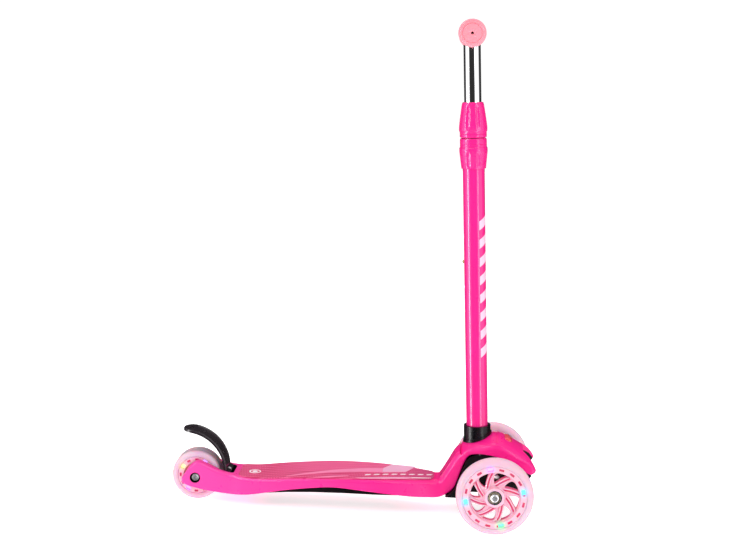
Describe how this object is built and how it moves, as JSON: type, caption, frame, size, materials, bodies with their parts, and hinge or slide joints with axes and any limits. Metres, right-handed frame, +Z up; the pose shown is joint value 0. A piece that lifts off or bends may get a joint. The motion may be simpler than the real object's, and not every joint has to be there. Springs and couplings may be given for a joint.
{
  "type": "kick scooter",
  "caption": "Child's lean-to-steer kick scooter with two light-up front wheels, one rear wheel, a moulded deck, a foot brake and a height-adjustable T-bar.",
  "frame": {"origin": "on the ground in the mid-plane, halfway along the overall length", "axes": "+X forward, +Y to the rider's left, +Z up"},
  "size_m": [0.5856, 0.289, 0.7811],
  "materials": {
    "pink_plastic": "semi-gloss moulded",
    "pink_paint": "gloss powder coat",
    "mat": "textured",
    "black_plastic": "satin",
    "brake_plastic": "satin",
    "chrome": "mirror polished",
    "steel": "zinc plated",
    "brass": "plated",
    "bearing": "satin",
    "grip_rubber": "satin soft",
    "wheel_core": "translucent gloss",
    "wheel_tyre": "translucent satin",
    "light": "lit",
    "button_red": "gloss"
  },
  "bodies": {
    "chassis": {"deck_body": "pink_plastic", "grip_mat": "mat", "underdeck_brace": "black_plastic", "brace_screws": "steel", "front_housing": "black_plastic", "housing_screws": "steel", "lean_pivot_bolt": "steel", "lean_pivot_nut": "steel", "kingpin_bolts": "steel", "kingpin_nuts": "steel", "centring_springs": "steel", "rear_axle_bolt": "steel", "rear_axle_nut": "steel", "rear_spacers": "steel", "brake_pin": "steel", "brake_spring": "steel", "button_spring": "steel"},
    "steering_head": {"steering_yoke": "black_plastic", "collar": "black_plastic", "socket_pin": "steel", "lower_tube": "pink_paint", "clamp_base": "pink_plastic", "clamp_collet": "black_plastic"},
    "clamp_ring": {"clamp_nut": "pink_plastic"},
    "handlebar": {"t_bar": "chrome", "tube_bush": "black_plastic", "bar_plugs": "black_plastic", "grip_left": "grip_rubber", "grip_right": "grip_rubber", "snap_spring": "steel"},
    "height_button": {"snap_button": "brass"},
    "linkage": {"tie_rod": "steel"},
    "left_knuckle": {"knuckle_left": "black_plastic", "front_axle_bolt_left": "steel", "front_spacer_left": "steel"},
    "right_knuckle": {"knuckle_right": "black_plastic", "front_axle_bolt_right": "steel", "front_spacer_right": "steel"},
    "left_wheel": {"front_core_left": "wheel_core", "front_tyre_left": "wheel_tyre", "front_bearings_left": "bearing", "front_lights_left": "light"},
    "right_wheel": {"front_core_right": "wheel_core", "front_tyre_right": "wheel_tyre", "front_bearings_right": "bearing", "front_lights_right": "light"},
    "rear_wheel": {"rear_core": "wheel_core", "rear_tyre": "wheel_tyre", "rear_bearings": "bearing", "rear_lights": "light"},
    "brake": {"brake_lever": "brake_plastic"},
    "front_button": {"release_button": "button_red"}
  },
  "joints": [
    {"name": "lean", "type": "hinge", "parent": "chassis", "child": "steering_head", "pos_m": [0.227, 0, 0.068], "axis": [1, 0, 0], "range_deg": [-10, 10], "stiffness_Nm_per_rad": 60, "deforming": ["centring_springs"]},
    {"name": "clamp_turn", "type": "hinge", "parent": "steering_head", "child": "clamp_ring", "pos_m": [0.17011, 0, 0.60216], "axis": [-0.0588, 0, 0.9983], "range_deg": [0, 90]},
    {"name": "height", "type": "slide", "parent": "steering_head", "child": "handlebar", "axis": [-0.0588, 0, 0.9983], "range_m": [-0.08, 0.04], "deforming": ["snap_button"]},
    {"name": "height_button_press", "type": "slide", "parent": "handlebar", "child": "height_button", "axis": [0.9983, 0, 0.0588], "range_m": [0, 0.0036], "stiffness_N_per_m": 600, "deforming": ["snap_spring"]},
    {"name": "tie_rod_shift", "type": "slide", "parent": "chassis", "child": "linkage", "axis": [0, 1, 0], "range_m": [-0.0031, 0.0031]},
    {"name": "left_steer", "type": "hinge", "parent": "chassis", "child": "left_knuckle", "pos_m": [0.227, 0.08, 0.06], "axis": [0, 0, 1], "range_deg": [-9.6, 9.6]},
    {"name": "right_steer", "type": "hinge", "parent": "chassis", "child": "right_knuckle", "pos_m": [0.227, -0.08, 0.06], "axis": [0, 0, 1], "range_deg": [-9.6, 9.6]},
    {"name": "left_wheel_spin", "type": "hinge", "parent": "left_knuckle", "child": "left_wheel", "pos_m": [0.227, 0.11, 0.06], "axis": [0, 1, 0], "continuous": true},
    {"name": "right_wheel_spin", "type": "hinge", "parent": "right_knuckle", "child": "right_wheel", "pos_m": [0.227, -0.11, 0.06], "axis": [0, 1, 0], "continuous": true},
    {"name": "rear_wheel_spin", "type": "hinge", "parent": "chassis", "child": "rear_wheel", "pos_m": [-0.253, 0, 0.04], "axis": [0, 1, 0], "continuous": true},
    {"name": "brake_press", "type": "hinge", "parent": "chassis", "child": "brake", "pos_m": [-0.2035, 0, 0.046], "axis": [0, -1, 0], "range_deg": [0, 22], "stiffness_Nm_per_rad": 1.5, "springref_deg": -5.73},
    {"name": "button_press", "type": "slide", "parent": "chassis", "child": "front_button", "axis": [-0.454, 0, -0.891], "range_m": [0, 0.0025], "stiffness_N_per_m": 500, "deforming": ["button_spring"]}
  ],
  "couplings": [
    {"joint": "tie_rod_shift", "follows": "lean", "m_per_rad": 0.01691},
    {"joint": "left_steer", "follows": "lean", "ratio": -0.945},
    {"joint": "right_steer", "follows": "lean", "ratio": -0.945}
  ]
}
